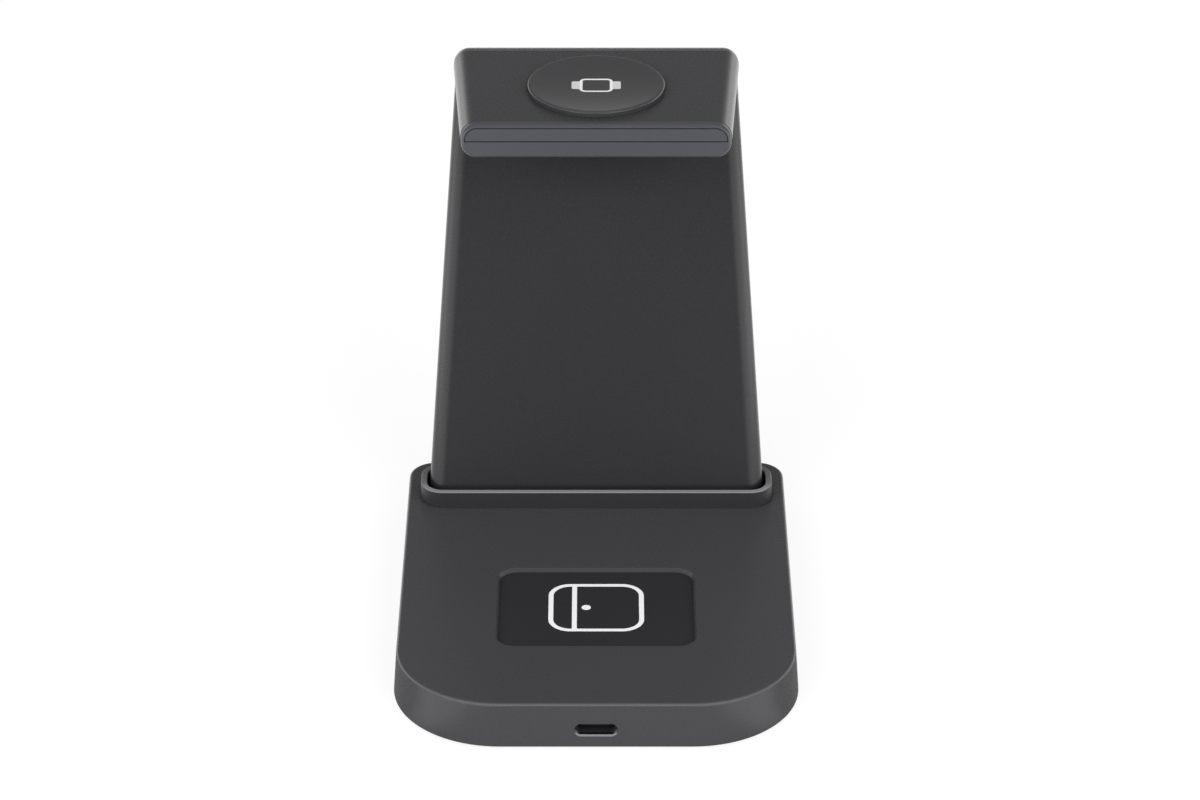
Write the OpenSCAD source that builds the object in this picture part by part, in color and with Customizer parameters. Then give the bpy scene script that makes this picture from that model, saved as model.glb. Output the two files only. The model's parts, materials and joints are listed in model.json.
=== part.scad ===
// Charging stand for a phone, a watch and an earbud case.
// A weighted base carries a bent, tapering stand: the phone leans on its panel and the watch
// lies on the puck of its deck. Millimetres, +Z up, the front faces -Y.
// The origin lies on the table, under the middle of the whole outline.

/* [Base] */
// Width of the base along its lower edge
base_w = 90; // [87:0.5:100]
// Depth of the base, front to back, along its lower edge
base_d = 107.5; // [102:0.5:120]
// Height of the base body, without the feet
base_h = 10.5; // [10.2:0.1:13]
// How far each side wall leans in on its way up
base_draft = 0.75; // [0.4:0.05:1.2]
// Radius of the two front corners, at the lower edge
base_front_r = 24; // [20:0.5:28]
// Radius of the two rear corners, at the lower edge
base_rear_r = 7; // [6:0.5:10]
// Round along the top edge
base_edge_r = 0.8; // [0.5:0.1:1.2]
// Thickness of the side walls
base_wall = 2; // [1.7:0.1:2.3]
// Thickness of the roof
base_roof = 1.8; // [1.5:0.1:2]
// Thickness of the bottom cover
cover_t = 1.6; // [1.4:0.1:2]

/* [Feet] */
// Diameter of a rubber foot
foot_d = 10; // [8:0.5:12]
// How far a foot stands below the cover
foot_proud = 0.8; // [0.5:0.1:1.5]
// How deep a foot is let into the cover
foot_sunk = 0.7; // [0.4:0.1:0.9]
// Distance from the side of the base to the centre of a foot
foot_inset_x = 13; // [12:0.5:15]
// Distance from the front and rear of the base to the centre of a foot
foot_inset_y = 14; // [13:0.5:16]

/* [Earbud pad] */
// Width of the pad recess at the roof
pad_w = 44.8; // [40:0.2:50]
// Depth of the pad recess, front to back, at the roof
pad_d = 33.4; // [30:0.2:36]
// Corner radius of the recess
pad_r = 4.5; // [3:0.5:6]
// Middle of the recess, behind the front edge of the base
pad_mid = 41; // [40:0.2:43]
// Depth from the roof down to the face of the pad
pad_sink = 0.9; // [0.6:0.1:1.1]
// How far the walls of the recess slope in
pad_bevel = 0.5; // [0.2:0.1:0.8]
// Thickness of the soft pad
pad_t = 0.8; // [0.6:0.1:1]
// Thickness of the floor that carries the pad
well_floor = 1.2; // [1:0.1:1.5]

/* [Port] */
// Width of the plug opening
port_w = 9.2; // [8.9:0.1:9.6]
// Height of the plug opening
port_h = 2.7; // [2.6:0.1:3]
// Middle of the opening above the lower edge of the base
port_z = 4.2; // [4:0.1:4.6]
// Bevel round the opening
port_bevel = 0.2; // [0.1:0.05:0.3]
// Thickness left in front of the receptacle
port_lip = 0.7; // [0.5:0.1:0.9]

/* [Collar] */
// Height of the collar above the roof
collar_h = 4; // [3:0.1:5]
// Thickness of the collar wall
collar_t = 1.5; // [1.2:0.1:1.7]
// Gap between the collar and each side of the stand, at the rim
collar_side_gap = 0.6; // [0.5:0.1:0.9]
// Gap in front of the stand, at the rim
collar_front_gap = 1.9; // [1.7:0.1:2.3]
// Gap behind the stand, at the rim
collar_rear_gap = 0.6; // [0.4:0.1:1]
// Inner corner radius of the collar
collar_r = 3.7; // [3:0.1:4.2]
// Front face of the collar, behind the front edge of the base
collar_front = 85.1; // [83:0.1:88]
// Depth of the groove that holds the collar
collar_sunk = 0.5; // [0.3:0.1:0.8]
// Round along the top edges of the collar
collar_edge_r = 0.35; // [0.2:0.05:0.5]

/* [Stand] */
// Height of the deck above the table
deck_h = 116; // [105:0.5:130]
// Lean of the panel from upright
lean = 15; // [11:0.5:18]
// Width of the stand at the rim of the collar
stand_w_foot = 78.2; // [74:0.2:79]
// Width of the stand round its bend
stand_w_bend = 65; // [62:0.2:70]
// Width of the deck at its front end
stand_w_front = 59.6; // [57:0.2:62]
// Thickness of the stand
stand_t = 8.1; // [7.8:0.1:8.8]
// Round along the long edges of the stand
stand_edge_r = 3.6; // [2.8:0.1:3.6]
// Outer radius of the bend
bend_r = 9.3; // [8.8:0.1:11]
// Length of the deck in front of the bend
deck_len = 39.5; // [38.5:0.5:50]
// Wall of the stand shells
stand_wall = 1.5; // [1.3:0.1:1.6]
// Thickness of the end cap
cap_t = 1.8; // [1.4:0.1:2.4]
// Round along the front edge of the end cap
cap_edge_r = 0.75; // [0.5:0.05:0.9]
// Width and depth of the fine lines cut in the end cap
cap_line = 0.25; // [0.15:0.05:0.35]

/* [Watch puck] */
// Diameter of the puck
puck_d = 30.7; // [28:0.1:33]
// Height of the puck above the deck
puck_h = 1.25; // [0.9:0.05:2]
// Middle of the puck, behind the front end of the deck
puck_mid = 19.3; // [18:0.1:20]
// Depth of the dish in the top of the puck
dish_depth = 0.55; // [0.3:0.05:0.7]
// Width of the rim round the dish
puck_rim = 0.7; // [0.5:0.1:1.2]
// How deep the puck is let into the deck
puck_sunk = 0.5; // [0.3:0.1:0.7]

/* [Coils] */
// Lower edge of the lower phone coil above the rim of the collar, along the panel
phone_coil_foot = 19; // [18:0.5:22]
// Room between the upper phone coil and the bend
phone_coil_head = 2.3; // [2:0.1:5]
// Gap between the two phone coils
phone_coil_gap = 1; // [0.6:0.1:3]
// Outer diameter of the earbud coil
bud_coil_d = 24; // [20:0.5:28]
// Outer diameter of the watch coil
watch_coil_d = 24; // [21:0.5:26]
// Inner diameter of the small coils
coil_bore = 9.5; // [9:0.5:12]
// Thickness of the windings
coil_t = 1; // [0.8:0.1:1.1]
// Thickness of the ferrite behind the windings
ferrite_t = 0.8; // [0.6:0.1:0.9]

/* [Inside] */
// Thickness of the circuit boards
board_t = 0.8; // [0.6:0.1:1]
// Thickness of the ballast plate
ballast_t = 1.5; // [1:0.1:1.7]
// Thickness of the steel bracket
bracket_t = 2; // [1.5:0.1:2.1]
// Width of the steel bracket
bracket_w = 56; // [50:0.5:60]
// Shank diameter of the screws
screw_d = 2; // [1.6:0.1:2.2]

/* [Hidden] */
$fa = 12;
$fs = 1.5;

// Clearances
slip = 0.1;
snug = 0.05;
hair = 0.02;
past = 1;
far = 400;

// Colours
shell_grey = "#444446";
panel_grey = "#38383a";
soft_grey = "#333335";
cap_grey = "#525357";
print_white = "#f4f4f4";
steel_grey = "#9a9ca0";
copper = "#b06a3a";
ferrite_black = "#2a2a2c";
board_green = "#1f5a3c";
chip_black = "#18181a";
ribbon_tan = "#b98a4a";
rubber_black = "#1c1c1d";

// Heights of the base
base_z0 = foot_proud;
base_top = base_z0 + base_h;
roof_z = base_top - base_roof;
cover_top = base_z0 + cover_t;
ballast_top = cover_top + ballast_t;
pad_top = base_top - pad_sink;
pad_z0 = pad_top - pad_t;
well_z0 = pad_z0 - well_floor;
base_front = -base_d / 2;
pad_y = base_front + pad_mid;

// Cover screws and their bosses
head_d = 2 * screw_d;
head_h = 0.6 * screw_d;
boss_d = 3 * screw_d;
boss_x = base_w / 2 - base_wall - base_draft - boss_d / 2 - slip;
boss_inset_front = 33;
boss_inset_rear = 25;
boss_y_front = base_front + boss_inset_front;
boss_y_rear = base_d / 2 - boss_inset_rear;
cover_screw_len = 5;

// Ballast plate between the board, the bosses and the rear wall
ballast_gap = 1.5;
ballast_corner = 3;

// Main board, hung from the roof, with its parts facing down
receptacle_w = 8.94;
receptacle_h = 3.16;
receptacle_len = 7.3;
receptacle_wall = 0.3;
tongue_w = 6.7;
tongue_t = 0.7;
tongue_set_back = 1.2;
receptacle_z = base_z0 + port_z;
receptacle_y = base_front + base_draft + port_lip;
board_z0 = receptacle_z + receptacle_h / 2;
board_w = 48;
board_inset = 4.5;
board_y0 = base_front + board_inset;
board_d = 15;
board_corner = 1.5;
board_boss_x = 20;
board_boss_inset = 3.5;
board_boss_y = board_y0 + board_d - board_boss_inset;
small_boss_d = 2.2 * screw_d;

// Parts on the boards
chip_side = 5;
chip_small = 3.6;
chip_t = 0.8;
chip_pitch = 9.5;
chip_row = 5.5;
inductor_side = 5;
inductor_h = 2.4;
inductor_x = 10.5;
inductor_inset = 3.5;

// Lean of the panel and the frame of the stand: rim level, middle of its thickness
rim_z = base_top + collar_h;
collar_y0 = base_front + collar_front;
face_y = collar_y0 + collar_t + collar_front_gap;
mid_y = face_y + stand_t / 2 * cos(lean);
mid_z = rim_z - stand_t / 2 * sin(lean);
collar_in_y0 = collar_y0 + collar_t;
collar_in_y1 = face_y + stand_t / cos(lean) + collar_rear_gap;
collar_in_w = stand_w_foot + 2 * collar_side_gap;

// Bend: middle radius, length of the panel up to it, and its centre
bend_mid_r = bend_r - stand_t / 2;
panel_len = (deck_h - bend_r - mid_z - bend_mid_r * sin(lean)) / cos(lean);
bend_y = mid_y - bend_mid_r * cos(lean) + panel_len * sin(lean);
bend_z = deck_h - bend_r;
deck_front = bend_y - deck_len;
deck_mid_z = deck_h - stand_t / 2;
stand_rear = bend_y + bend_r;
taper = (stand_w_foot - stand_w_bend) / panel_len;
foot_run = (rim_z - base_top) / cos(lean) + stand_t;

// Lip of the end cap
lip_len = 2;
lip_t = 1;

// The whole outline is centred on the origin
shift_y = -(base_front + stand_rear) / 2;

// Inside of the stand, as distances from its middle plane
room = stand_t / 2 - stand_wall;
coil_face = -room;
ferrite_face = coil_face + coil_t;
carrier_face = ferrite_face + ferrite_t;
carrier_t = 0.8;
board_face = carrier_face + carrier_t;
board_back = board_face + board_t;
phone_coil_d = (panel_len - phone_coil_foot - phone_coil_head - phone_coil_gap) / 2;
phone_coil_low = phone_coil_foot + phone_coil_d / 2;
phone_coil_high = panel_len - phone_coil_head - phone_coil_d / 2;
carrier_side_gap = 3;
carrier_w = stand_w_bend - 2 * (stand_wall + carrier_side_gap);
carrier_margin = 1;
carrier_s0 = phone_coil_foot - carrier_margin;
carrier_s1 = panel_len - phone_coil_head;
carrier_boss_x = carrier_w / 2 - small_boss_d / 2;
carrier_boss_low = carrier_s0 + small_boss_d / 2;
carrier_boss_high = carrier_s1 - small_boss_d / 2;
stand_board_w = 34;
stand_board_len = 30;
stand_board_gap = 3;
stand_board_s0 = carrier_s0 + small_boss_d + stand_board_gap;
stand_board_s1 = stand_board_s0 + stand_board_len;

// Steel bracket: a flat leg under the roof and two arms up the stand
bracket_lift = 0.2;
bracket_z0 = ballast_top + head_h + bracket_lift;
bracket_z1 = bracket_z0 + bracket_t;
bracket_pad_gap = 8;
bracket_y0 = pad_y + pad_d / 2 + bracket_pad_gap;
bracket_notch = 16;
bracket_margin = 5;
bracket_hole_x = (bracket_w + bracket_notch) / 4;
bracket_hole_y = bracket_y0 + bracket_margin;
notch_y0 = bracket_hole_y + bracket_margin;
arm_carrier_gap = 1.5;
arm_top = carrier_s0 - arm_carrier_gap;
arm_hole_s = arm_top - bracket_margin;
arm_room = room - bracket_t / 2;
arm_foot_s = (bracket_z1 - mid_z) / cos(lean);
slot_room = 1;

// Watch charger in the deck
puck_y = deck_front + puck_mid;
coil_roof = deck_h - stand_wall;
dish_r = ((puck_d / 2 - puck_rim) ^ 2 + dish_depth ^ 2) / (2 * dish_depth);
magnet_gap = 0.5;
magnet_d = coil_bore - 2 * magnet_gap;
ferrite_rim = 0.5;
ferrite_corner = 2;
watch_board_w = 38;
watch_board_d = 22;
watch_board_lift = 0.6;
watch_chip_pitch = 12;
peg_inset = 3;
puck_edge_r = 0.35;
watch_board_z0 = deck_h - stand_t + stand_wall + watch_board_lift;

// Flat cables
cable_t = 0.3;
cable_w = 8;
cable_gap = 0.8;
cable_hold = 2;

// Symbols
symbol_t = 0.3;
bud_symbol_w = 21.5;
bud_symbol_d = 20.2;
bud_symbol_r = 5;
bud_symbol_line = 1.1;
bud_lid_x = -4.9;
bud_dot_x = -2.25;
bud_dot_d = 2.1;
bud_symbol_shift = 1;
watch_symbol_w = 7.4;
watch_symbol_d = 7;
watch_symbol_line = 0.65;
watch_strap_w = 4.1;
watch_strap_len = 1.8;
watch_symbol_r = 1.4;
watch_strap_r = 0.5;

// Moves a piece from the middle of the base to the shared origin
module in_place() {
    translate([0, shift_y, 0]) children();
}

// Turns the frame of the panel: x across, y through its thickness to the rear, z up along it
module on_panel() {
    in_place() translate([0, mid_y, mid_z]) rotate([-lean, 0, 0]) children();
}

// Flat outline with round corners, centred
module round_rect(w, d, r) {
    union() {
        square([w - 2 * r, d], center = true);
        square([w, d - 2 * r], center = true);
        for (x = [-1, 1], y = [-1, 1])
            translate([x * (w / 2 - r), y * (d / 2 - r)]) circle(r);
    }
}

// Half section of a leaning wall with a round top edge, from the middle out to its reach
module wall_profile(reach, h, draft, edge) {
    slope = atan(draft / h);
    centre = [reach - (edge + sin(slope) * (h - edge)) / cos(slope), h - edge];
    steps = 5;
    polygon(concat([[0, 0], [reach, 0]],
        [for (i = [0:steps]) let (a = slope + (90 - slope) * i / steps)
            centre + edge * [cos(a), sin(a)]],
        [[0, h]]));
}

// Straight run of a wall section along x, facing -y
module wall_run(len) {
    rotate([90, 0, 90]) linear_extrude(len, center = true) mirror([1, 0]) children();
}

// Block with leaning walls, its own radius at the front and at the rear, and a round top edge
module soft_block(w, d, h, front_r, rear_r, draft, edge) {
    band = d - front_r - rear_r;
    union() {
        for (x = [0, 1]) mirror([x, 0, 0]) {
            translate([0, (front_r - rear_r) / 2, 0]) rotate([90, 0, 0])
                linear_extrude(band, center = true) wall_profile(w / 2, h, draft, edge);
            translate([w / 2 - front_r, front_r - d / 2, 0]) rotate([0, 0, -90])
                rotate_extrude(angle = 90) wall_profile(front_r, h, draft, edge);
            translate([w / 2 - rear_r, d / 2 - rear_r, 0])
                rotate_extrude(angle = 90) wall_profile(rear_r, h, draft, edge);
        }
        translate([0, front_r - d / 2, 0]) wall_run(w - 2 * front_r)
            wall_profile(front_r, h, draft, edge);
        translate([0, d / 2 - rear_r, 0]) mirror([0, 1, 0]) wall_run(w - 2 * rear_r)
            wall_profile(rear_r, h, draft, edge);
    }
}

// Block with round upright corners and straight walls
module round_block(w, d, h, r) {
    linear_extrude(h) round_rect(w, d, r);
}

// Recess with walls that open upwards and go on past its mouth
module open_recess(w, d, h, r, bevel) {
    low = [w / 2 - bevel, d / 2 - bevel];
    over = bevel * past / h;
    high = [w / 2 + over, d / 2 + over];
    union() {
        rotate([90, 0, 0]) linear_extrude(d - 2 * r, center = true)
            polygon([[-low.x, 0], [low.x, 0], [high.x, h + past], [-high.x, h + past]]);
        rotate([90, 0, 90]) linear_extrude(w - 2 * r, center = true)
            polygon([[-low.y, 0], [low.y, 0], [high.y, h + past], [-high.y, h + past]]);
        for (x = [-1, 1], y = [-1, 1])
            translate([x * (w / 2 - r), y * (d / 2 - r), 0])
                cylinder(h = h + past, r1 = r - bevel, r2 = r + over);
    }
}

// Slot outline with half-round ends
module slot(w, h) {
    union() {
        square([w - h, h], center = true);
        for (x = [-1, 1]) translate([x * (w - h) / 2, 0]) circle(h / 2);
    }
}

// Screw with a pan head: the head hangs below z = 0 and the shank goes up
module pan_screw(len) {
    difference() {
        union() {
            translate([0, 0, -head_h]) cylinder(h = head_h, d = head_d);
            cylinder(h = len, d = screw_d);
        }
        for (a = [0, 90]) rotate(a)
            translate([-head_d / 3, -screw_d / 8, -head_h - past])
                cube([head_d * 2 / 3, screw_d / 4, past + head_h / 2]);
    }
}

// Screw with a countersunk head, flush with z = 0
module flat_screw(len) {
    difference() {
        union() {
            cylinder(h = head_h, d1 = head_d, d2 = screw_d);
            cylinder(h = len, d = screw_d);
        }
        for (a = [0, 90]) rotate(a)
            translate([-head_d / 3, -screw_d / 8, -past])
                cube([head_d * 2 / 3, screw_d / 4, past + head_h / 2]);
    }
}

// Flat winding of round wire
module winding(outer_d, inner_d, t) {
    difference() {
        cylinder(h = t, d = outer_d);
        translate([0, 0, -past]) cylinder(h = t + 2 * past, d = inner_d);
    }
}

// Unit vector, and the direction from a corner of a path to the corner of its offset
function unit(v) = v / norm(v);

function mitre(path, i) =
    let (before = unit(path[max(i, 1)] - path[max(i, 1) - 1]),
        after = i < len(path) - 1 ? unit(path[i + 1] - path[i]) : before,
        along = unit(before + after))
    [-along.y, along.x] / (along * before);

// Strip of even thickness along a path of the side view
module side_strip(path, t, w) {
    last = len(path) - 1;
    in_place() rotate([90, 0, 90]) linear_extrude(w, center = true)
        polygon(concat([for (i = [0:last]) path[i] + t / 2 * mitre(path, i)],
            [for (i = [last:-1:0]) path[i] - t / 2 * mitre(path, i)]));
}

// Places of the four cover screws
module at_cover_screws() {
    for (x = [-boss_x, boss_x], y = [boss_y_front, boss_y_rear]) translate([x, y, 0]) children();
}

// Places of the board screws
module at_board_screws() {
    for (x = [-board_boss_x, board_boss_x]) translate([x, board_boss_y, 0]) children();
}

// Places of the screws through the flat leg of the bracket
module at_bracket_screws() {
    for (x = [-bracket_hole_x, bracket_hole_x]) translate([x, bracket_hole_y, 0]) children();
}

// Places of the screws through the arms of the bracket, on the panel
module at_arm_screws() {
    for (x = [-bracket_hole_x, bracket_hole_x]) translate([x, 0, arm_hole_s]) children();
}

// Places of the carrier screws, on the panel
module at_carrier_screws() {
    for (x = [-carrier_boss_x, carrier_boss_x], s = [carrier_boss_low, carrier_boss_high])
        translate([x, 0, s]) children();
}

// Boss from one height to another, with a pilot hole for a screw
module boss_shape(d, z0, z1) {
    translate([0, 0, z0]) cylinder(h = z1 - z0, d = d);
}

module pilot(z0, len) {
    translate([0, 0, z0 - past]) cylinder(h = len + past, d = screw_d + slip);
}

// Base body: the outside of the base, between its lower edge and the roof
module base_outside() {
    translate([0, 0, base_z0])
        soft_block(base_w, base_d, base_h, base_front_r, base_rear_r, base_draft, base_edge_r);
}

// Inside of the base, inset by the wall
module base_inside(gap, h) {
    inset = 2 * (base_wall + gap);
    linear_extrude(h) union() {
        translate([0, (base_front_r - base_rear_r) / 2])
            square([base_w - inset, base_d - base_front_r - base_rear_r], center = true);
        translate([0, base_d / 4])
            square([base_w - 2 * base_rear_r, base_d / 2 - inset], center = true);
        translate([0, -base_d / 4])
            square([base_w - 2 * base_front_r, base_d / 2 - inset], center = true);
        for (x = [-1, 1]) {
            translate([x * (base_w / 2 - base_front_r), base_front_r - base_d / 2])
                circle(base_front_r - inset / 2);
            translate([x * (base_w / 2 - base_rear_r), base_d / 2 - base_rear_r])
                circle(base_rear_r - inset / 2);
        }
    }
}

module base_top_shell() {
    color(shell_grey) in_place() difference() {
        union() {
            difference() {
                base_outside();
                translate([0, 0, base_z0 - past])
                    base_inside(base_draft, roof_z - base_z0 + past);
            }
            translate([0, pad_y, well_z0])
                round_block(pad_w + 2 * well_floor, pad_d + 2 * well_floor,
                    roof_z - well_z0 + snug, pad_r + well_floor);
            at_cover_screws() boss_shape(boss_d, cover_top, roof_z + snug);
            at_board_screws() boss_shape(small_boss_d, board_z0 + board_t, roof_z + snug);
            at_bracket_screws() boss_shape(boss_d, bracket_z1, roof_z + snug);
        }
        translate([0, pad_y, pad_top])
            open_recess(pad_w, pad_d, pad_sink, pad_r, pad_bevel);
        translate([0, pad_y, pad_z0])
            round_block(pad_w - 2 * pad_bevel, pad_d - 2 * pad_bevel, pad_t + snug,
                pad_r - pad_bevel);
        translate([0, (collar_in_y0 + collar_in_y1) / 2, base_top - collar_sunk])
            collar_outline(collar_sunk + past, snug);
        at_cover_screws() pilot(cover_top, cover_screw_len);
        at_board_screws() pilot(board_z0 + board_t, roof_z - board_z0 - board_t + base_roof / 2);
        at_bracket_screws() pilot(bracket_z1, roof_z - bracket_z1 + base_roof / 2);
        foot_slot();
        port_cut();
    }
}

// Slot in the roof for the arms of the bracket and the cable
module foot_slot() {
    slot_y = mid_y + ((roof_z + base_top) / 2 - mid_z) * tan(lean);
    slot_d = bracket_t / cos(lean) + base_roof * tan(lean) + slot_room;
    translate([-bracket_w / 2 - slip, slot_y - slot_d / 2, roof_z - past])
        cube([bracket_w + 2 * slip, slot_d, base_roof + 2 * past]);
}

// Plug opening with its bevel, and the pocket behind it that takes the receptacle
module port_cut() {
    outer_y = base_front + base_draft * port_z / base_h;
    translate([0, outer_y, receptacle_z]) rotate([90, 0, 0]) {
        linear_extrude(2 * base_wall + 2 * past, center = true) slot(port_w, port_h);
        translate([0, 0, -port_bevel]) bevel_slot();
    }
    translate([0, receptacle_y, receptacle_z]) rotate([-90, 0, 0])
        linear_extrude(base_wall + past) slot(receptacle_w + 2 * snug, receptacle_h + 2 * snug);
}

// The bevel opens forwards
module bevel_slot() {
    wide = port_bevel + past;
    union() {
        for (x = [-1, 1]) translate([x * (port_w - port_h) / 2, 0, 0])
            cylinder(h = wide, r1 = port_h / 2, r2 = port_h / 2 + wide);
        rotate([90, 0, 90]) linear_extrude(port_w - port_h, center = true)
            polygon([[-port_h / 2, 0], [port_h / 2, 0], [port_h / 2 + wide, wide],
                [-port_h / 2 - wide, wide]]);
    }
}

module base_bottom_cover() {
    color(shell_grey) in_place() difference() {
        translate([0, 0, base_z0]) base_inside(base_draft + slip, cover_t);
        at_cover_screws() translate([0, 0, base_z0]) {
            translate([0, 0, -snug]) cylinder(h = head_h + snug, d1 = head_d + 2 * slip,
                d2 = screw_d + slip);
            cylinder(h = cover_t + past, d = screw_d + slip);
        }
        for (x = [-1, 1], y = [-1, 1]) at_foot(x, y)
            translate([0, 0, base_z0 - past]) cylinder(h = foot_sunk + past, d = foot_d + slip);
    }
}

// Centre of one foot
module at_foot(x, y) {
    translate([x * (base_w / 2 - foot_inset_x), y * (base_d / 2 - foot_inset_y), 0]) children();
}

// Rubber foot with a round lower edge
module foot(x, y) {
    edge = foot_proud / 2;
    color(rubber_black) in_place() at_foot(x, y) rotate_extrude() union() {
        translate([0, edge]) square([foot_d / 2, base_z0 + foot_sunk - edge]);
        square([foot_d / 2 - edge, foot_proud]);
        translate([foot_d / 2 - edge, edge]) intersection() {
            circle(edge);
            translate([0, -edge]) square([edge, 2 * edge]);
        }
    }
}

module cover_screws() {
    color(steel_grey) in_place() at_cover_screws()
        translate([0, 0, base_z0]) flat_screw(cover_t + cover_screw_len - slip);
}

module ballast_plate() {
    y0 = board_y0 + board_d + ballast_gap;
    y1 = base_d / 2 - base_wall - base_draft - ballast_gap;
    w = 2 * (boss_x - boss_d / 2 - ballast_gap);
    color(steel_grey) in_place() translate([0, (y0 + y1) / 2, cover_top])
        round_block(w, y1 - y0, ballast_t, ballast_corner);
}

// Solid outline of the collar, grown by a gap
module collar_outline(h, gap) {
    linear_extrude(h) round_rect(collar_in_w + 2 * (collar_t + gap),
        collar_in_y1 - collar_in_y0 + 2 * (collar_t + gap), collar_r + collar_t + gap);
}

module collar_ring() {
    mid = (collar_in_y0 + collar_in_y1) / 2;
    in_d = collar_in_y1 - collar_in_y0;
    h = collar_h + collar_sunk;
    color(soft_grey) in_place() translate([0, mid, base_top - collar_sunk]) union() {
        difference() {
            linear_extrude(h - collar_edge_r)
                round_rect(collar_in_w + 2 * collar_t, in_d + 2 * collar_t, collar_r + collar_t);
            translate([0, 0, -past]) linear_extrude(h + 2 * past)
                round_rect(collar_in_w, in_d, collar_r);
        }
        translate([0, 0, h - collar_edge_r]) ring_edge(collar_in_w, in_d);
    }
}

// Round top edge of the collar, as four straight runs and four turned corners
module ring_edge(w, d) {
    for (y = [-1, 1]) translate([0, y * (d + collar_t) / 2, 0]) rotate([90, 0, 90])
        linear_extrude(w - 2 * collar_r, center = true) edge_profile();
    for (x = [-1, 1]) translate([x * (w + collar_t) / 2, 0, 0]) rotate([90, 0, 0])
        linear_extrude(d - 2 * collar_r, center = true) edge_profile();
    for (x = [0, 1], y = [0, 1]) mirror([x, 0, 0]) mirror([0, y, 0])
        translate([w / 2 - collar_r, d / 2 - collar_r, 0]) rotate_extrude(angle = 90)
            translate([collar_r + collar_t / 2, 0]) edge_profile();
}

// Section of the top edge: flat with two rounds
module edge_profile() {
    flat = collar_t / 2 - collar_edge_r;
    union() {
        translate([-flat, 0]) square([2 * flat, collar_edge_r]);
        intersection() {
            for (x = [-1, 1]) translate([x * flat, 0]) circle(collar_edge_r);
            translate([-collar_t, 0]) square([2 * collar_t, collar_t]);
        }
    }
}

module earbud_pad() {
    color(soft_grey) in_place() difference() {
        translate([0, pad_y, pad_z0])
            round_block(pad_w - 2 * (pad_bevel + snug), pad_d - 2 * (pad_bevel + snug), pad_t,
                pad_r - pad_bevel - snug);
        translate([0, pad_y + bud_symbol_shift, pad_top - symbol_t])
            linear_extrude(symbol_t + past) bud_symbol();
    }
}

// Generic earbud case: an outline, the line of its lid and a lamp
module bud_symbol() {
    union() {
        difference() {
            round_rect(bud_symbol_w, bud_symbol_d, bud_symbol_r);
            round_rect(bud_symbol_w - 2 * bud_symbol_line, bud_symbol_d - 2 * bud_symbol_line,
                bud_symbol_r - bud_symbol_line);
        }
        translate([bud_lid_x, 0])
            square([bud_symbol_line, bud_symbol_d - bud_symbol_line], center = true);
    }
    translate([bud_dot_x, 0]) circle(d = bud_dot_d);
}

module earbud_symbol() {
    color(print_white) in_place()
        translate([0, pad_y + bud_symbol_shift, pad_top - symbol_t])
            linear_extrude(symbol_t) bud_symbol();
}

module earbud_coil() {
    color(copper) in_place() translate([0, pad_y, well_z0 - coil_t])
        winding(bud_coil_d, coil_bore, coil_t);
}

module earbud_ferrite() {
    color(ferrite_black) in_place() translate([0, pad_y, well_z0 - coil_t - ferrite_t])
        round_block(bud_coil_d + 2 * ferrite_rim, bud_coil_d + 2 * ferrite_rim, ferrite_t,
            ferrite_corner);
}

module main_board() {
    color(board_green) in_place() difference() {
        translate([0, board_y0 + board_d / 2, board_z0])
            round_block(board_w, board_d, board_t, board_corner);
        at_board_screws() pilot(board_z0, board_t + past);
    }
}

// Stadium tube of the receptacle, its mouth forwards
module port_receptacle() {
    color(steel_grey) in_place() translate([0, receptacle_y, receptacle_z]) rotate([-90, 0, 0])
        difference() {
            linear_extrude(receptacle_len) slot(receptacle_w, receptacle_h);
            translate([0, 0, -past]) linear_extrude(receptacle_len - receptacle_wall + past)
                slot(receptacle_w - 2 * receptacle_wall, receptacle_h - 2 * receptacle_wall);
        }
}

module port_tongue() {
    color(chip_black) in_place()
        translate([-tongue_w / 2, receptacle_y + tongue_set_back, receptacle_z - tongue_t / 2])
            cube([tongue_w, receptacle_len - receptacle_wall - tongue_set_back, tongue_t]);
}

// Square part of a board, standing on z = 0
module chip(side, h) {
    translate([-side / 2, -side / 2, 0]) cube([side, side, h]);
}

module board_chips() {
    color(chip_black) in_place() for (i = [-1:1])
        translate([i * chip_pitch, board_y0 + board_d - chip_row, board_z0 - chip_t])
            chip(i == 0 ? chip_small : chip_side, chip_t);
}

module power_inductors() {
    color(ferrite_black) in_place() for (x = [-inductor_x, inductor_x])
        translate([x, board_y0 + inductor_inset, board_z0 - inductor_h])
            chip(inductor_side, inductor_h);
}

module board_screws() {
    color(steel_grey) in_place() at_board_screws() translate([0, 0, board_z0])
        pan_screw(roof_z - board_z0 + base_roof / 2 - 2 * slip);
}

// Bent sheet: a flat leg, and a leg that leans back and ends in two arms
module stand_bracket() {
    mid = (bracket_z0 + bracket_z1) / 2;
    knee_y = mid_y + (mid - mid_z) * tan(lean);
    knee_r = 1.5 * bracket_t;
    turn = 90 - lean;
    bend_start = knee_y - knee_r * tan(turn / 2);
    color(steel_grey) difference() {
        side_strip(concat([[bracket_y0, mid]],
            [for (i = [0:5]) [bend_start + knee_r * sin(i * turn / 5),
                mid + knee_r * (1 - cos(i * turn / 5))]],
            [panel_point(0, arm_top)]), bracket_t, bracket_w);
        in_place() at_bracket_screws() translate([0, 0, bracket_z0 - past])
            cylinder(h = bracket_t + 2 * past, d = screw_d + slip);
        on_panel() at_arm_screws() rotate([90, 0, 0])
            cylinder(h = 2 * bracket_t, d = screw_d + slip, center = true);
        on_panel() translate([-bracket_notch / 2, -bracket_t, arm_foot_s])
            cube([bracket_notch, 2 * bracket_t, far]);
        in_place() translate([-bracket_notch / 2, notch_y0, bracket_z0 - past])
            cube([bracket_notch, far, bracket_t + 2 * past]);
    }
}

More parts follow.
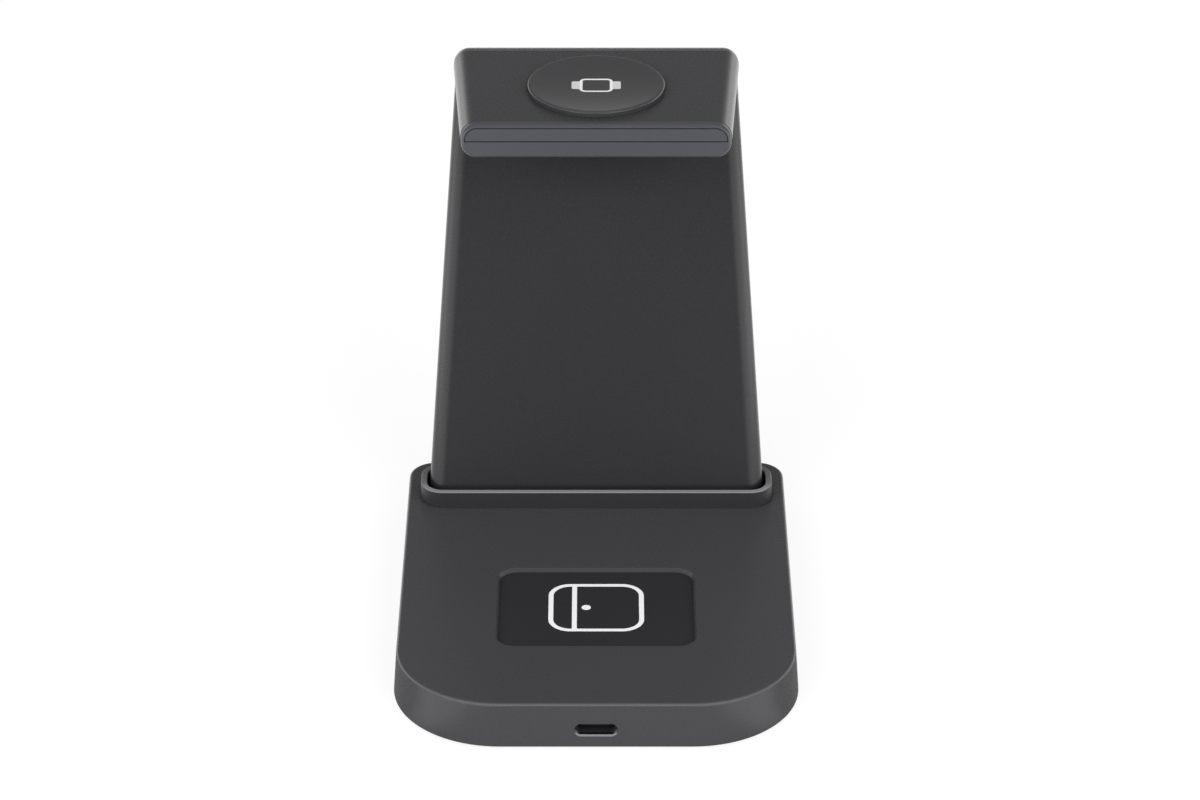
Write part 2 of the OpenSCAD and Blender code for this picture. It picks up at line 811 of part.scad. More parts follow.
module bracket_screws() {
    color(steel_grey) {
        in_place() at_bracket_screws() translate([0, 0, bracket_z0])
            pan_screw(roof_z - bracket_z0 + base_roof / 2 - 2 * slip);
        on_panel() at_arm_screws() translate([0, bracket_t / 2, 0]) rotate([90, 0, 0])
            pan_screw(bracket_t + arm_room + stand_wall / 2 - slip);
    }
}

// Bar of even thickness that goes from width w0 to w1 over its length, with four round long
// edges; its root reaches a little below z = 0
module tapered_bar(w0, w1, len, t, r) {
    turn = atan((w0 - w1) / 2 / len);
    reach = r / cos(turn);
    extra = r * tan(turn);
    a0 = w0 / 2 - r + extra;
    a1 = w1 / 2 - r - extra;
    intersection() {
        union() {
            rotate([90, 0, 0]) linear_extrude(t, center = true)
                polygon([[-a0, -r], [a0, -r], [a1, len + r], [-a1, len + r]]);
            rotate([90, 0, 0]) linear_extrude(t - 2 * r, center = true)
                polygon([[-a0 - reach, -r], [a0 + reach, -r], [a1 + reach, len + r],
                    [-a1 - reach, len + r]]);
            for (x = [-1, 1], y = [-1, 1])
                translate([x * (w0 / 2 - r), y * (t / 2 - r), 0]) rotate([0, -x * turn, 0])
                    translate([0, 0, -r]) cylinder(h = len + 2 * r, r = r);
        }
        translate([-far / 2, -far / 2, -slip]) cube([far, far, len + slip]);
    }
}

// The whole stand: panel, bend and deck, grown or shrunk by one distance
module stand_form(grow, deck_run) {
    $fn = 16;
    t = stand_t + 2 * grow;
    r = stand_edge_r + grow;
    w_low = stand_w_foot + 2 * grow + taper * foot_run;
    w_bend = stand_w_bend + 2 * grow;
    w_end = stand_w_bend - (stand_w_bend - stand_w_front) * deck_run / deck_len + 2 * grow;
    in_place() {
        difference() {
            translate([0, mid_y, mid_z]) rotate([-lean, 0, 0]) translate([0, 0, panel_len])
                rotate([180, 0, 0]) tapered_bar(w_bend, w_low, panel_len + foot_run, t, r);
            translate([-far / 2, -far / 2, base_top - far - (grow < 0 ? past : 0)])
                cube([far, far, far]);
        }
        translate([0, bend_y, bend_z]) rotate([0, 90, 0]) rotate([0, 0, 90 - lean])
            rotate_extrude(angle = 90 + lean, $fn = 36) translate([bend_mid_r, 0])
                round_rect(t + 2 * hair, w_bend + 2 * hair, r + hair);
        translate([0, bend_y, deck_mid_z]) rotate([90, 0, 0])
            tapered_bar(w_bend, w_end, deck_run, t, r);
    }
}

// Everything on the inner side of the middle of the stand: in front of the panel, under the deck
module inner_side() {
    foot_y = mid_y - foot_run * sin(lean);
    foot_z = mid_z - foot_run * cos(lean);
    top_y = mid_y + panel_len * sin(lean);
    top_z = mid_z + panel_len * cos(lean);
    in_place() rotate([90, 0, 90]) linear_extrude(far, center = true) union() {
        polygon([[foot_y, foot_z], [top_y, top_z], [bend_y, bend_z], [bend_y, deck_mid_z],
            [-far, deck_mid_z], [-far, foot_z]]);
        translate([bend_y, bend_z]) circle(bend_mid_r);
    }
}

// Hollow stand, open at its foot and at the front end of its deck
module stand_hollow() {
    difference() {
        stand_form(0, deck_len - cap_t);
        stand_form(-stand_wall, deck_len - cap_t + past);
    }
}

module stand_front_shell() {
    color(panel_grey) difference() {
        union() {
            intersection() {
                stand_hollow();
                inner_side();
            }
            on_panel() {
                at_arm_screws() translate([0, -bracket_t / 2, 0]) rotate([90, 0, 0])
                    cylinder(h = arm_room + snug, d = boss_d);
                at_carrier_screws() translate([0, carrier_face, 0]) rotate([90, 0, 0])
                    cylinder(h = carrier_face + room + snug, d = small_boss_d);
            }
            in_place() at_watch_board_pegs()
                translate([0, 0, watch_board_z0 - watch_board_lift - snug])
                    cylinder(h = watch_board_lift + snug, d = small_boss_d);
        }
        on_panel() {
            at_arm_screws() translate([0, bracket_t / 2, 0]) rotate([90, 0, 0])
                cylinder(h = bracket_t + arm_room + stand_wall / 2, d = screw_d + slip);
            at_carrier_screws() translate([0, carrier_face + past, 0]) rotate([90, 0, 0])
                cylinder(h = past + carrier_face + room + stand_wall / 2, d = screw_d + slip);
        }
    }
}

// Corners of the watch board
module at_watch_board_pegs() {
    for (x = [-1, 1], y = [-1, 1])
        translate([x * (watch_board_w / 2 - peg_inset), puck_y + y * (watch_board_d / 2 - peg_inset),
            0]) children();
}

module stand_rear_shell() {
    color(shell_grey) difference() {
        stand_hollow();
        inner_side();
        in_place() translate([0, puck_y, deck_h - puck_sunk])
            cylinder(h = puck_sunk + past, d = puck_d + slip);
    }
}

// Half section of a soft-edged plate, from the middle of its corner round outwards
module plate_profile(h, r, edge) {
    union() {
        square([r, h - edge]);
        square([r - edge, h]);
        translate([r - edge, h - edge]) intersection() {
            circle(edge);
            square(edge);
        }
    }
}

// Plate with round corners and a round front edge, its back at z = 0
module soft_plate(w, d, h, r, edge) {
    union() {
        translate([r - w / 2, r - d / 2, 0]) cube([w - 2 * r, d - 2 * r, h]);
        for (y = [0, 1]) mirror([0, y, 0]) translate([0, r - d / 2, 0])
            wall_run(w - 2 * r) plate_profile(h, r, edge);
        for (x = [0, 1]) mirror([x, 0, 0]) translate([w / 2 - r, 0, 0])
            rotate([0, 0, 90]) wall_run(d - 2 * r) plate_profile(h, r, edge);
        for (x = [0, 1], y = [0, 1]) mirror([x, 0, 0]) mirror([0, y, 0])
            translate([w / 2 - r, d / 2 - r, 0]) rotate_extrude(angle = 90)
                plate_profile(h, r, edge);
    }
}

// End cap of the deck: a soft-edged face with a fine line across its middle and one round its
// upper half, and a lip that plugs into the shells
module head_end_cap() {
    in_w = stand_w_front - 2 * stand_wall - 2 * slip;
    in_d = stand_t - 2 * stand_wall - 2 * slip;
    in_r = stand_edge_r - stand_wall - slip;
    face_w = stand_w_front - 2 * cap_edge_r;
    face_d = stand_t - 2 * cap_edge_r;
    face_r = stand_edge_r - cap_edge_r;
    color(cap_grey) in_place() translate([0, deck_front + cap_t, deck_mid_z])
        rotate([90, 0, 0]) difference() {
            union() {
                soft_plate(stand_w_front, stand_t, cap_t, stand_edge_r, cap_edge_r);
                translate([0, 0, -lip_len]) linear_extrude(lip_len + snug) difference() {
                    round_rect(in_w, in_d, in_r);
                    round_rect(in_w - 2 * lip_t, in_d - 2 * lip_t, in_r - lip_t);
                }
            }
            translate([0, 0, cap_t - cap_line]) linear_extrude(past) {
                difference() {
                    round_rect(face_w, face_d, face_r);
                    round_rect(face_w - 2 * cap_line, face_d - 2 * cap_line, face_r - cap_line);
                    translate([-far / 2, -far]) square(far);
                }
                square([face_w - cap_line, cap_line], center = true);
            }
        }
}

module phone_coil(s) {
    color(copper) on_panel() translate([0, ferrite_face, s]) rotate([90, 0, 0])
        winding(phone_coil_d, phone_coil_d / 2, coil_t);
}

module phone_ferrite() {
    color(ferrite_black) on_panel() translate([0, carrier_face, (phone_coil_foot + carrier_s1) / 2])
        rotate([90, 0, 0])
            round_block(phone_coil_d + 2 * ferrite_rim, carrier_s1 - phone_coil_foot, ferrite_t,
                ferrite_corner);
}

module coil_carrier() {
    color(shell_grey) on_panel() difference() {
        translate([0, board_face, (carrier_s0 + carrier_s1) / 2]) rotate([90, 0, 0])
            round_block(carrier_w, carrier_s1 - carrier_s0, carrier_t, ferrite_corner);
        at_carrier_screws() rotate([90, 0, 0])
            cylinder(h = far, d = screw_d + slip, center = true);
    }
}

module carrier_screws() {
    color(steel_grey) on_panel() at_carrier_screws() translate([0, board_face, 0])
        rotate([90, 0, 0]) pan_screw(carrier_t + carrier_face + room + stand_wall / 2 - slip);
}

module stand_board() {
    color(board_green) on_panel()
        translate([0, board_back, (stand_board_s0 + stand_board_s1) / 2]) rotate([90, 0, 0])
            round_block(stand_board_w, stand_board_s1 - stand_board_s0, board_t, board_corner);
}

module stand_board_chips() {
    color(chip_black) on_panel() for (x = [-1, 1], row = [0, 1])
        translate([x * chip_pitch, board_back, stand_board_s0 + chip_pitch * (row + 1)])
            rotate([-90, 0, 0]) chip(row == 0 ? chip_side : chip_small, chip_t);
}

// Point of the side view that lies off the middle plane of the panel, s above the rim
function panel_point(off, s) = [mid_y + off * cos(lean) + s * sin(lean),
    mid_z - off * sin(lean) + s * cos(lean)];

module flat_cable(points) {
    color(ribbon_tan) side_strip(points, cable_t, cable_w);
}

// From the main board under the roof and up into the stand
module base_cable() {
    low = ballast_top + cable_gap;
    off = board_back + cable_t / 2;
    board_end = board_y0 + board_d;
    roof_s = (roof_z - mid_z) / cos(lean);
    flat_cable([[board_end - cable_hold, board_z0 - cable_t / 2],
        [board_end + cable_hold / 2, board_z0 - cable_t / 2],
        [board_end + 2 * cable_hold, low], [notch_y0 + cable_hold, low],
        panel_point(off / 2, roof_s - cable_hold / 2), panel_point(off, 4 * cable_hold),
        panel_point(off, stand_board_s0 + cable_hold)]);
}

// From the board of the stand round the bend to the watch board
module head_cable() {
    off = board_back + cable_t / 2;
    board_end = puck_y + watch_board_d / 2;
    board_top = watch_board_z0 + board_t;
    flat_cable(concat([panel_point(off, stand_board_s1 - cable_hold), panel_point(off, panel_len)],
        [for (a = [-lean + 15:15:75]) [bend_y + (bend_mid_r + off) * cos(a),
            bend_z + (bend_mid_r + off) * sin(a)]],
        [[bend_y, deck_mid_z + off], [board_end + cable_hold / 2, board_top + cable_t / 2],
            [board_end - cable_hold, board_top + cable_t / 2]]));
}

module watch_puck() {
    h = puck_h + puck_sunk;
    color(panel_grey) in_place() translate([0, puck_y, deck_h - puck_sunk]) difference() {
        rotate_extrude() union() {
            square([puck_d / 2, h - puck_edge_r]);
            square([puck_d / 2 - puck_edge_r, h]);
            translate([puck_d / 2 - puck_edge_r, h - puck_edge_r]) intersection() {
                circle(puck_edge_r);
                square(puck_edge_r);
            }
        }
        translate([0, 0, h - dish_depth]) dish();
        translate([0, 0, h - dish_depth - symbol_t]) linear_extrude(past + dish_depth)
            watch_shape();
    }
}

// Shallow bowl that is cut from the top of the puck, its lowest point at z = 0
module dish() {
    bands = 10;
    reach = puck_d / 2 - puck_rim;
    step = reach / bands;
    rotate_extrude() polygon(concat([[0, dish_depth + past]],
        [for (i = [0:bands]) [step * i, dish_r - sqrt(dish_r ^ 2 - (step * max(i, 1)) ^ 2)]],
        [[reach, dish_depth + past]]));
}

// Generic watch: a round-cornered case with a stub of strap at each side
module watch_shape() {
    union() {
        difference() {
            round_rect(watch_symbol_w, watch_symbol_d, watch_symbol_r);
            round_rect(watch_symbol_w - 2 * watch_symbol_line,
                watch_symbol_d - 2 * watch_symbol_line, watch_symbol_r - watch_symbol_line);
        }
        for (x = [-1, 1])
            translate([x * (watch_symbol_w + watch_strap_len - watch_symbol_line) / 2, 0])
                round_rect(watch_strap_len + watch_symbol_line, watch_strap_w, watch_strap_r);
    }
}

module watch_symbol() {
    h = puck_h + puck_sunk;
    color(print_white) in_place() translate([0, puck_y, deck_h - puck_sunk]) difference() {
        translate([0, 0, h - dish_depth - symbol_t]) linear_extrude(symbol_t + dish_depth)
            watch_shape();
        translate([0, 0, h - dish_depth]) dish();
    }
}

module watch_coil() {
    color(copper) in_place() translate([0, puck_y, coil_roof - coil_t])
        winding(watch_coil_d, coil_bore, coil_t);
}

module watch_ferrite() {
    color(ferrite_black) in_place() translate([0, puck_y, coil_roof - coil_t - ferrite_t])
        winding(watch_coil_d + 2 * ferrite_rim, coil_bore, ferrite_t);
}

module watch_magnet() {
    color(steel_grey) in_place() translate([0, puck_y, coil_roof - coil_t - ferrite_t])
        cylinder(h = coil_t + ferrite_t, d = magnet_d);
}

module watch_board() {
    color(board_green) in_place() translate([0, puck_y, watch_board_z0])
        round_block(watch_board_w, watch_board_d, board_t, board_corner);
}

module watch_board_chips() {
    color(chip_black) in_place() for (i = [-1:1])
        translate([i * watch_chip_pitch, puck_y - watch_board_d / 2 + chip_row,
            watch_board_z0 + board_t]) chip(chip_small, chip_t);
}

base_top_shell();
base_bottom_cover();
foot(-1, -1);  // foot_front_left
foot(1, -1);  // foot_front_right
foot(-1, 1);  // foot_rear_left
foot(1, 1);  // foot_rear_right
cover_screws();
ballast_plate();
collar_ring();
earbud_pad();
earbud_symbol();
earbud_coil();
earbud_ferrite();
main_board();
port_receptacle();
port_tongue();
board_chips();
power_inductors();
board_screws();
stand_bracket();
bracket_screws();
stand_front_shell();
stand_rear_shell();
head_end_cap();
phone_coil(phone_coil_low);  // phone_coil_lower
phone_coil(phone_coil_high);  // phone_coil_upper
phone_ferrite();
coil_carrier();
carrier_screws();
stand_board();
stand_board_chips();
base_cable();
head_cable();
watch_puck();
watch_symbol();
watch_coil();
watch_ferrite();
watch_magnet();
watch_board();
watch_board_chips();
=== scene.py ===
import json
import math

import bpy
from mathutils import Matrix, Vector


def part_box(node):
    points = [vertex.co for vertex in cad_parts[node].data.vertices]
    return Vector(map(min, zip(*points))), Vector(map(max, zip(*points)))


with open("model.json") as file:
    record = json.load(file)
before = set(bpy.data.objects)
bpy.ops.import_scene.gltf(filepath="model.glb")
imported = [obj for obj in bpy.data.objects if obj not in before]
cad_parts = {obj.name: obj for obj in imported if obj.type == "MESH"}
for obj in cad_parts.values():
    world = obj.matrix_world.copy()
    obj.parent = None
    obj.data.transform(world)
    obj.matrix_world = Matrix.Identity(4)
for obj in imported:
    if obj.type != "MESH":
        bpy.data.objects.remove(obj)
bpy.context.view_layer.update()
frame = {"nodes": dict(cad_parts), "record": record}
nodes = frame["nodes"]
slots = {part["node"]: part["material_slot"] for part in frame["record"]["subparts"]}
MM = 0.001

# Colours of the moulded pieces and of the socket's liner, each with the shade it drifts to
BASE = ("#414143", "#444446")
STAND = ("#3a3a3c", "#3c3c3e")
PANEL = ("#29292b", "#2b2b2d")
PUCK = ("#39393b", "#3b3b3d")
CAP = ("#434449", "#45464b")
PAD = ("#2b2b2d", "#2e2e30")
COLLAR = ("#303032", "#333335")
EARBUD_INLAY = ("#f8f8f8", "#fbfbfb")
WATCH_INLAY = ("#f0f0f0", "#f4f4f4")
# The liner's colours are painted dark, for the shade deep in the socket
SHADED_LINER = ("#3a3a3c", "#424244")
TONGUE = ("#333335", "#3a3a3c")
FOOT = ("#19191a", "#202021")
CHIP = ("#17171a", "#222225")

# Paler and darker places on them: painted highlights on the round edge of the base, the lip of its
# plug opening and the collar's rim, painted shade in the mouth of the plug opening, and the greyer
# straps of the watch symbol
EDGE_HIGHLIGHT = "#5a5a5c"
LIP_HIGHLIGHT = "#7c7c7e"
MOUTH_SHADE = "#161618"
RIM_HIGHLIGHT = "#868688"
STRAP = "#d6d6d8"

# Darker and paler shades of the inner finishes
COPPER = ("#6e3517", "#c07a45")
FERRITE = ("#26262a", "#3c3c41")
FILM = ("#8a4b14", "#b9742c")
BOARD = ("#164a2c", "#2f7a4a")
ZINC = ("#8f9195", "#b2b4b8")

# Sizes of the patterns that are drawn as large as they are, in millimetres
DRIFT_SIZE = 25
WIRE_PITCH = 0.6
LINE_PITCH = 0.8
TRACE_CELL = 2.5

# Sizes of the patterns that are too fine to show, in millimetres. A mould's grain is about 0.05,
# a crystal of ferrite 0.02 and a rolling mark 0.1, and each is drawn as coarse as it needs
MOULD_GRAIN = 0.35
SOFT_GRAIN = 0.25
FINE_GRAIN = 0.2
CRYSTAL = 0.5
ROLLING_MARK = 0.4
MARK_STRETCH = 25
GRAIN_DETAIL = 3.0

# Depths of the patterns in millimetres, and the share of their tilt that the light follows
GRAIN_DEPTH = 0.0015
WIRE_DEPTH = 0.2
CRYSTAL_DEPTH = 0.02
LINE_DEPTH = 0.02
TRACE_DEPTH = 0.03
MARK_DEPTH = 0.01
TILT = 0.3

# Where the patterns change: by the height of a grain, by the wave across a film cable's lines,
# and by the distance from the middle of a trace
GRAIN_STEP = (0.3, 0.7)
LINE_STEP = (-0.2, 0.2)
TRACE_STEP = (0.06, 0.1)

# How much rougher and smoother than the middle a grain leaves the gloss, and the gloss across
# the rolling marks
GLOSS_SPREAD = 0.02
ROLLED_GLOSS = (0.24, 0.4)

# Share of open sky at which the painted crevice shade is darkest and at which it ends
CREVICE_SKY = (0.35, 0.95)
SKY_SAMPLES = 8

# Where a trim starts and is whole, by how far the surface faces up: 0 on a wall, 1 on a roof
ROUND_BELOW = (0.35, 0.5)
ROUND_ABOVE = (0.7, 0.85)
MOUTH_FLAT = (0.9, 0.98)
RIM_FLAT = (0.3, 0.8)

# Where the trims lie, in millimetres: the plug opening's lip below the roof, the painted edge highlight
# outside the pad's recess, and the brightest part of the rim's painted highlight behind the collar's
# front
LIP_BELOW = 2
PAD_RIM = 2
BRIGHT_RIM_START = 1.5
BRIGHT_RIM_END = 6

# Share of the painted highlight on the rest of the collar's rim, and share of the watch symbol that is
# its case
RIM_HIGHLIGHT_REST = 0.45
CASE_SHARE = 0.67

# Numbers of the sockets of a node that mixes two colours
SHARE = 0
FIRST = 6
SECOND = 7
MIXED = 2

# Settings that nodes share
EASED = {"interpolation_type": "SMOOTHSTEP"}
SATIN = {"Specular IOR Level": 0.3}
POLISHED = {"Specular IOR Level": 0.85}

# White studio. DOME is the world's strength to matt surfaces, and the rest is what gloss sees: a
# dim room with white walls at its sides, a band behind and a ceiling. Each is bounded by how far
# a direction points aside, back or up, from 0 to 1
DOME = 0.44
DIM = 0.18
WALL = 1.8
WALL_ASIDE = (0.2, 0.45)
WALL_TOP = (0.1, 0.3)
BAND = 0.5
BAND_BACK = (0.2, 0.7)
BAND_FOOT = (0.12, 0.2)
BAND_TOP = (0.26, 0.36)
CEILING = 0.4
CEILING_EDGE = (0.78, 0.95)
WHITE = "#ffffff"

# Floor: half its side, its colours where light bounces off it and where it is seen, its glow to
# the eye, and its glow to gloss: dim before the part, brighter behind and beside it, and a card
# at each front corner of the base. Places are in metres
FLOOR_REACH = 6.0
FLOOR_BOUNCE = "#e6e6e6"
FLOOR_SEEN = "#8c8c8c"
FLOOR_GLOW = 0.8
FLOOR_DIM = 0.1
FLOOR_BEHIND = 1.15
BEHIND_FROM = (-0.03, 0.04)
FLOOR_BESIDE = 3.3
BESIDE_FROM = (0.1, 0.3)
BESIDE_BACK = (0.0, 0.3)
CARD = 1.2
CARD_FROM = (0.034, 0.046)
CARD_BACK = (-0.058, -0.044)

# Soft boxes, one of each kind at either side: degrees round and up, metres wide and high, watts
KEY_BOX = {"azimuth": 22, "elevation": 33, "width": 0.35, "height": 0.25, "power": 3.0}
SIDE_BOX = {"azimuth": 52, "elevation": 28, "width": 0.6, "height": 0.6, "power": 5.4}
BOX_AWAY = 1.2
BOX_AIM = 0.05

# Camera: lens, sensor and place in millimetres, degrees down, and the nearest it sees in metres
LENS = 126
SENSOR = 36
CAMERA_PLACE = (0.85, -824.3, 508.6)
CAMERA_DOWN = 28.9
CLIP_START = 0.01


# Colours are written as sRGB hex, as a paint card gives them
def linear(hex_code):
    parts = [int(hex_code[i:i + 2], 16) / 255 for i in (1, 3, 5)]
    return [p / 12.92 if p <= 0.04045 else ((p + 0.055) / 1.055) ** 2.4 for p in parts] + [1.0]


# Adds a node with its settings and links, and returns it. Its inputs are given in order, or by
# name or number. One that is a node or a socket is linked, and any other is set as a value
def add_node(tree, kind, inputs=(), **settings):
    node = tree.nodes.new("ShaderNode" + kind)
    for name, value in settings.items():
        setattr(node, name, value)
    for key, value in inputs.items() if isinstance(inputs, dict) else enumerate(inputs):
        if isinstance(value, bpy.types.Node):
            value = value.outputs[0]
        if isinstance(value, bpy.types.NodeSocket):
            tree.links.new(value, node.inputs[key])
        else:
            node.inputs[key].default_value = value
    return node


# Starts a material with nothing in it
def new_material(name):
    material = bpy.data.materials.new(name)
    material.use_nodes = True
    material.node_tree.nodes.clear()
    return material, material.node_tree


# Ends a material in a surface with a tint, a gloss and a relief of a depth in millimetres
def finish_surface(tree, tint, roughness, relief, depth, **sockets):
    tilt = add_node(tree, "Bump", {"Height": relief, "Strength": TILT, "Distance": depth * MM})
    surface = add_node(tree, "BsdfPrincipled", {"Base Color": tint, "Roughness": roughness,
                                                "Normal": tilt, **sockets})
    add_node(tree, "OutputMaterial", {"Surface": surface})


# How far a surface faces up: 0 on a wall, 1 on a roof
def facing_up(tree):
    normal = add_node(tree, "NewGeometry").outputs["Normal"]
    return add_node(tree, "SeparateXYZ", {"Vector": normal}).outputs["Z"]


# Place on the object along each axis, in metres
def place_by_axis(tree):
    place = add_node(tree, "TexCoord").outputs["Object"]
    return add_node(tree, "SeparateXYZ", {"Vector": place}).outputs


# Paints shade into a colour in crevices narrower than a reach in millimetres, down to a share of itself
def paint_crevice_shade(tree, colour, reach, keep):
    sky = add_node(tree, "AmbientOcclusion", {"Distance": reach * MM}, samples=SKY_SAMPLES)
    shade = add_node(tree, "MapRange", (sky.outputs["AO"], *CREVICE_SKY, keep, 1.0), **EASED)
    return add_node(tree, "Mix", {SHARE: shade, FIRST: linear("#000000"), SECOND: colour},
                    data_type="RGBA").outputs[MIXED]


# Moulded plastic or rubber. Its colour drifts a little over a few centimetres, as pigment does
# in a melt, and the fine spark-eroded grain of the mould softens its gloss
def moulded(name, colours, roughness, grain=MOULD_GRAIN, trim=None, reach=0.0, keep=1.0,
            **sockets):
    material, tree = new_material(name)
    place = add_node(tree, "TexCoord").outputs["Object"]
    drift = add_node(tree, "TexNoise", {"Vector": place, "Scale": 1 / (DRIFT_SIZE * MM)})
    tint = add_node(tree, "Mix", {SHARE: drift, FIRST: linear(colours[0]), SECOND: linear(colours[1])},
                    data_type="RGBA").outputs[MIXED]
    if trim:
        tint = trim(tree, tint)
    # Painted shade in crevices, where a reach is given
    if reach:
        tint = paint_crevice_shade(tree, tint, reach, keep)
    fine = add_node(tree, "TexNoise", {"Vector": place, "Scale": 1 / (grain * MM),
                                       "Detail": GRAIN_DETAIL})
    gloss = add_node(tree, "MapRange", (fine, *GRAIN_STEP, roughness - GLOSS_SPREAD,
                                        roughness + GLOSS_SPREAD), **EASED)
    finish_surface(tree, tint, roughness=gloss, relief=fine, depth=GRAIN_DEPTH, **sockets)
    return material


# Painted highlights: a paler line on the round outer edge of the base and on the lip of its plug
# opening, and painted shade on the dark floor behind the lip
def painted_edge_light(tree, colour):
    up = facing_up(tree)
    rises = add_node(tree, "MapRange", (up, *ROUND_BELOW, 0.0, 1.0), **EASED)
    falls = add_node(tree, "MapRange", (up, *ROUND_ABOVE, 1.0, 0.0), **EASED)
    round_edge = add_node(tree, "Math", (rises, falls), operation="MULTIPLY")
    place = place_by_axis(tree)
    pad_low, pad_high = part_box("earbud_pad")
    across = add_node(tree, "Math", (place["X"],), operation="ABSOLUTE")
    aside = add_node(tree, "Math", (across, pad_high[0] + PAD_RIM * MM),
                     operation="GREATER_THAN")
    before = add_node(tree, "Math", (place["Y"], pad_low[1] - PAD_RIM * MM),
                      operation="LESS_THAN")
    outside = add_node(tree, "Math", (aside, before), operation="MAXIMUM")
    edge_highlight_mask = add_node(tree, "Math", (round_edge, outside), operation="MULTIPLY")
    edge_lit = add_node(tree, "Mix", {SHARE: edge_highlight_mask, FIRST: colour, SECOND: linear(EDGE_HIGHLIGHT)},
                    data_type="RGBA").outputs[MIXED]
    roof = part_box("base_top_shell")[1][2]
    below = add_node(tree, "Math", (place["Z"], roof - LIP_BELOW * MM), operation="LESS_THAN")
    on_lip = add_node(tree, "Math", (round_edge, below), operation="MULTIPLY")
    lip_lit = add_node(tree, "Mix", {SHARE: on_lip, FIRST: edge_lit, SECOND: linear(LIP_HIGHLIGHT)},
                      data_type="RGBA").outputs[MIXED]
    flat = add_node(tree, "MapRange", (up, *MOUTH_FLAT, 0.0, 1.0), **EASED)
    in_mouth = add_node(tree, "Math", (flat, below), operation="MULTIPLY")
    return add_node(tree, "Mix", {SHARE: in_mouth, FIRST: lip_lit, SECOND: linear(MOUTH_SHADE)},
                    data_type="RGBA").outputs[MIXED]


# Painted highlight on the collar's rim, which leaves it paler than its walls, most of all along
# its front
def painted_rim_highlight(tree, colour):
    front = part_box("collar_ring")[0][1]
    front_strength = add_node(tree, "MapRange", (place_by_axis(tree)["Y"], front + BRIGHT_RIM_START * MM,
                                         front + BRIGHT_RIM_END * MM, 1.0, RIM_HIGHLIGHT_REST), **EASED)
    flat = add_node(tree, "MapRange", (facing_up(tree), *RIM_FLAT, 0.0, 1.0), **EASED)
    rim = add_node(tree, "Math", (flat, front_strength), operation="MULTIPLY")
    return add_node(tree, "Mix", {SHARE: rim, FIRST: colour, SECOND: linear(RIM_HIGHLIGHT)},
                    data_type="RGBA").outputs[MIXED]


# The straps of the watch symbol are greyer than its case
def grey_straps(tree, colour):
    low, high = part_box("watch_symbol")
    across = add_node(tree, "Math", (place_by_axis(tree)["X"],), operation="ABSOLUTE")
    on_strap = add_node(tree, "Math", (across, CASE_SHARE * (high[0] - low[0]) / 2),
                        operation="GREATER_THAN")
    return add_node(tree, "Mix", {SHARE: on_strap, FIRST: colour, SECOND: linear(STRAP)},
                    data_type="RGBA").outputs[MIXED]


# Enamelled copper wire, wound flat: each turn is a bright ring round the middle of the coil, with
# a dark groove beside it
def wound_copper(node):
    material, tree = new_material("enamelled_copper_" + node)
    low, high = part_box(node)
    middle = [(a + b) / 2 for a, b in zip(low, high)]
    place = add_node(tree, "TexCoord").outputs["Object"]
    radius = add_node(tree, "VectorMath", (place, middle), operation="DISTANCE")
    turns = add_node(tree, "Math", (radius.outputs["Value"], math.tau / (WIRE_PITCH * MM)),
                     operation="MULTIPLY")
    wave = add_node(tree, "Math", (turns,), operation="SINE")
    crown = add_node(tree, "MapRange", (wave, -1.0, 1.0, 0.0, 1.0), **EASED)
    tint = add_node(tree, "Mix", {SHARE: crown, FIRST: linear(COPPER[0]), SECOND: linear(COPPER[1])},
                    data_type="RGBA").outputs[MIXED]
    finish_surface(tree, tint, roughness=0.32, relief=crown, depth=WIRE_DEPTH, Metallic=1.0)
    return material


# Sintered ferrite: a hard, dull dark grey tile with a faint speckle of crystals
def sintered_ferrite():
    material, tree = new_material("sintered_ferrite")
    place = add_node(tree, "TexCoord").outputs["Object"]
    crystal = add_node(tree, "TexVoronoi", {"Vector": place, "Scale": 1 / (CRYSTAL * MM)})
    tint = add_node(tree, "Mix", {SHARE: crystal, FIRST: linear(FERRITE[0]), SECOND: linear(FERRITE[1])},
                    data_type="RGBA").outputs[MIXED]
    finish_surface(tree, tint, roughness=0.45, relief=crystal, depth=CRYSTAL_DEPTH)
    return material


# Film cable: amber polyimide, laminated over copper lines that show through it as stripes
def laminated_film():
    material, tree = new_material("laminated_polyimide_film")
    turns = add_node(tree, "Math", (place_by_axis(tree)["X"], math.tau / (LINE_PITCH * MM)),
                     operation="MULTIPLY")
    wave = add_node(tree, "Math", (turns,), operation="SINE")
    line = add_node(tree, "MapRange", (wave, *LINE_STEP, 0.0, 1.0), **EASED)
    tint = add_node(tree, "Mix", {SHARE: line, FIRST: linear(FILM[0]), SECOND: linear(FILM[1])},
                    data_type="RGBA").outputs[MIXED]
    finish_surface(tree, tint, roughness=0.3, relief=line, depth=LINE_DEPTH)
    return material


# Circuit board: pressed glass fibre under a coat of green, glossy mask, which is paler and stands
# up over the copper traces
def coated_board():
    material, tree = new_material("mask_coated_glass_fibre")
    place = add_node(tree, "TexCoord").outputs["Object"]
    edge = add_node(tree, "TexVoronoi", {"Vector": place, "Scale": 1 / (TRACE_CELL * MM)},
                    feature="DISTANCE_TO_EDGE")
    trace = add_node(tree, "MapRange", (edge, *TRACE_STEP, 1.0, 0.0), **EASED)
    tint = add_node(tree, "Mix", {SHARE: trace, FIRST: linear(BOARD[0]), SECOND: linear(BOARD[1])},
                    data_type="RGBA").outputs[MIXED]
    finish_surface(tree, tint, roughness=0.35, relief=trace, depth=TRACE_DEPTH)
    return material


